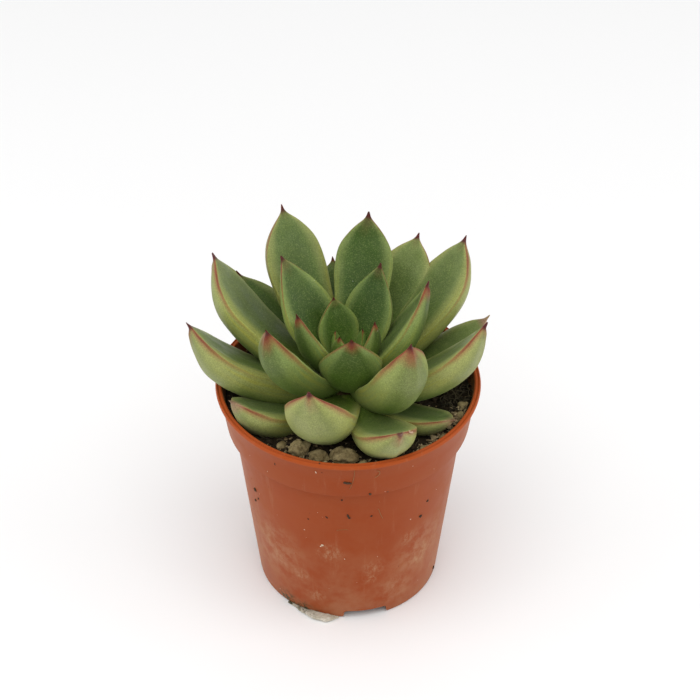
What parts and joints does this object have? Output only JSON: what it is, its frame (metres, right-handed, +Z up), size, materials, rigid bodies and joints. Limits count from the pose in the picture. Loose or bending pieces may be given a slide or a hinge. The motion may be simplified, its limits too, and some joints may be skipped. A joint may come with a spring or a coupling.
{
  "type": "potted succulent",
  "caption": "Rosette of thick pointed green leaves with red-brown edges and spines, growing in a tapered orange-brown plastic nursery pot with a collar and a notched foot.",
  "frame": {"origin": "on the standing surface, under the middle of the whole object's box; the pot's own axis stands 3.6 mm to +X of it, because the rosette reaches further to -X", "axes": "+Z up, -Y towards the front of the plant, where the low leaves hang over the rim, +X to its right"},
  "size_m": [0.1195, 0.105, 0.1508],
  "materials": {
    "pot": "satin",
    "leaf": "satin",
    "stem": "matte",
    "soil": "matte",
    "pebble": "matte",
    "crust": "matte"
  },
  "bodies": {
    "root": {"pot": "pot", "soil": "soil", "stem": "stem", "crust": "crust", "leaf_01": "leaf", "leaf_02": "leaf", "leaf_03": "leaf", "leaf_04": "leaf", "leaf_05": "leaf", "leaf_06": "leaf", "leaf_07": "leaf", "leaf_08": "leaf", "leaf_09": "leaf", "leaf_10": "leaf", "leaf_11": "leaf", "leaf_12": "leaf", "leaf_13": "leaf", "leaf_14": "leaf", "leaf_15": "leaf", "leaf_16": "leaf", "leaf_17": "leaf", "leaf_18": "leaf", "leaf_19": "leaf", "leaf_20": "leaf", "leaf_21": "leaf", "leaf_22": "leaf", "leaf_23": "leaf", "leaf_24": "leaf", "leaf_25": "leaf", "leaf_26": "leaf", "leaf_27": "leaf", "leaf_28": "leaf", "leaf_29": "leaf", "pebble_01": "pebble", "pebble_02": "pebble", "pebble_03": "pebble", "pebble_04": "pebble", "pebble_05": "pebble", "pebble_06": "pebble", "pebble_07": "pebble", "pebble_08": "pebble", "pebble_09": "pebble", "pebble_10": "pebble"}
  },
  "joints": []
}
